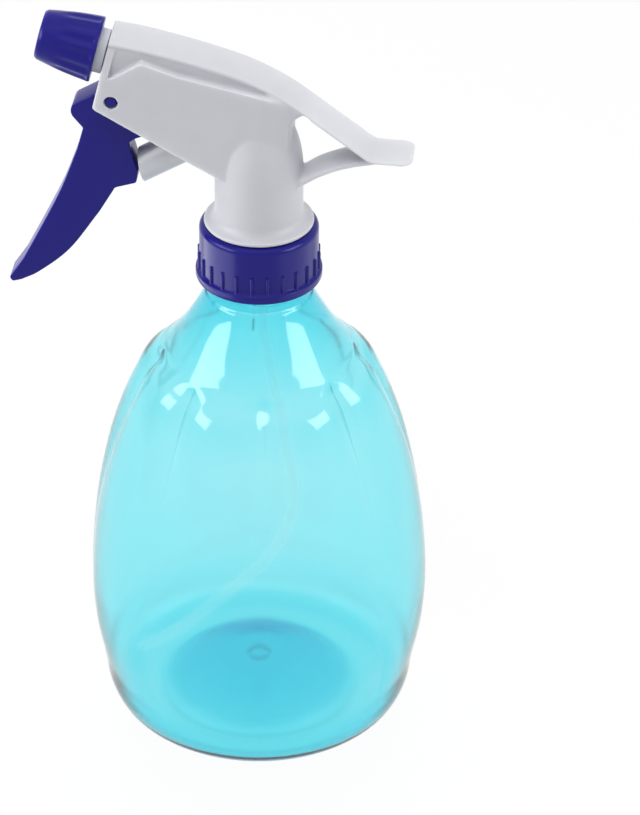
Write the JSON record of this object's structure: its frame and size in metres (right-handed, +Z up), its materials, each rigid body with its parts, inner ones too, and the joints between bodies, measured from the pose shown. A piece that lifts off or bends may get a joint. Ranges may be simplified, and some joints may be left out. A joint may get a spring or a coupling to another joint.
{
  "type": "trigger spray bottle",
  "caption": "Hand spray bottle: a clear lobed bottle with a screw cap and a pump head whose trigger drives a piston, with an adjustable screw nozzle.",
  "frame": {"origin": "on the bottle's axis, on the surface that it stands on", "axes": "+Z up the bottle's axis; the nozzle points to -X; +Y is to the right of the spray when looking along it from behind"},
  "size_m": [0.1123, 0.0922, 0.2086],
  "materials": {
    "clear_cyan": "clear tinted PET, glossy",
    "clear_tube": "translucent soft PE",
    "blue": "moulded polypropylene, satin gloss",
    "white": "moulded polypropylene, satin",
    "pale_grey": "moulded polypropylene, satin",
    "seal": "matt rubber",
    "steel": "drawn stainless steel"
  },
  "bodies": {
    "bottle": {"bottle": "clear_cyan"},
    "head": {"sprayer_body": "white", "neck_gasket": "seal", "tube_holder": "pale_grey", "dip_tube": "clear_tube", "nozzle_holder": "pale_grey", "swirl_insert": "pale_grey", "return_spring": "steel", "outlet_spring": "steel"},
    "closure": {"screw_cap": "blue"},
    "trigger": {"trigger": "blue"},
    "piston": {"piston": "pale_grey", "piston_cup": "seal"},
    "nozzle_seal": {"nozzle_seal": "seal"},
    "nozzle": {"nozzle_cap": "blue"},
    "inlet_ball": {"inlet_ball": "steel"},
    "outlet_ball": {"outlet_ball": "steel"}
  },
  "joints": [
    {"name": "head_lift", "type": "slide", "parent": "bottle", "child": "head", "axis": [0, 0, 1], "range_m": [0, 0.00634]},
    {"name": "closure_turn", "type": "hinge", "parent": "head", "child": "closure", "pos_m": [0, 0, 0.143], "axis": [0, 0, 1], "range_deg": [0, 540]},
    {"name": "trigger_pull", "type": "hinge", "parent": "head", "child": "trigger", "pos_m": [-0.0373, 0, 0.1883], "axis": [0, -1, 0], "range_deg": [0, 18], "stiffness_Nm_per_rad": 1.5, "springref_deg": -5.73},
    {"name": "piston_stroke", "type": "slide", "parent": "head", "child": "piston", "axis": [0.8572, 0, 0.515], "range_m": [0, 0.0085], "deforming": ["return_spring"]},
    {"name": "nozzle_travel", "type": "slide", "parent": "head", "child": "nozzle_seal", "axis": [-0.9724, 0, 0.2334], "range_m": [-0.00137, 0.00112]},
    {"name": "nozzle_turn", "type": "hinge", "parent": "nozzle_seal", "child": "nozzle", "pos_m": [-0.03925, 0, 0.19848], "axis": [-0.9724, 0, 0.2334], "range_deg": [-330, 270]},
    {"name": "inlet_lift", "type": "slide", "parent": "head", "child": "inlet_ball", "axis": [0, 0, 1], "range_m": [0, 0.0015]},
    {"name": "outlet_lift", "type": "slide", "parent": "head", "child": "outlet_ball", "axis": [-0.9724, 0, 0.2334], "range_m": [0, 0.0008], "stiffness_N_per_m": 30, "springref_m": -0.002, "deforming": ["outlet_spring"]}
  ],
  "couplings": [
    {"joint": "closure_turn", "follows": "head_lift", "rad_per_m": 1484.3},
    {"joint": "piston_stroke", "follows": "trigger_pull", "m_per_rad": 0.027},
    {"joint": "nozzle_turn", "follows": "nozzle_travel", "rad_per_m": 4188.8}
  ]
}
